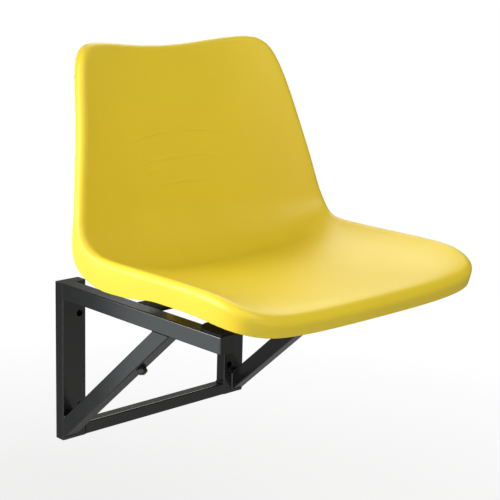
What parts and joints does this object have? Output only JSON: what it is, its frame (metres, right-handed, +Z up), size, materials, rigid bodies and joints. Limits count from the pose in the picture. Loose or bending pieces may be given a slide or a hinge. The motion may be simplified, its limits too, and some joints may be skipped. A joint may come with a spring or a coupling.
{
  "type": "stadium seat",
  "caption": "Wall-mounted stadium seat: a moulded plastic bucket shell with a rolled rim, bolted from below to a welded square-tube cantilever bracket.",
  "frame": {"origin": "centre of the four wall bolt holes, in the plane of the wall", "axes": "+Z up, the sitter faces -Y away from the wall, +X to the sitter's left"},
  "size_m": [0.5034, 0.4907, 0.6186],
  "materials": {
    "yellow_shell": "moulded yellow plastic, satin gloss, faint moulding ripples",
    "bracket_paint": "dark grey semi-gloss paint on welded steel tube and flat bar",
    "cap_plastic": "black moulded insert cap",
    "pad_rubber": "black rubber",
    "zinc_steel": "zinc-plated steel",
    "insert_brass": "turned brass"
  },
  "bodies": {
    "root": {"seat_shell": "yellow_shell", "left_post": "bracket_paint", "right_post": "bracket_paint", "post_end_plates": "bracket_paint", "bottom_rail": "bracket_paint", "left_arm": "bracket_paint", "right_arm": "bracket_paint", "left_brace": "bracket_paint", "right_brace": "bracket_paint", "rear_cross_strap": "bracket_paint", "front_cross_strap": "bracket_paint", "left_arm_cap": "cap_plastic", "right_arm_cap": "cap_plastic", "spacer_pads": "pad_rubber", "threaded_inserts": "insert_brass", "seat_bolts": "zinc_steel", "seat_spring_washers": "zinc_steel", "seat_washers": "zinc_steel", "brace_bolts": "bracket_paint", "brace_washers": "bracket_paint", "brace_nuts": "bracket_paint"}
  },
  "joints": []
}
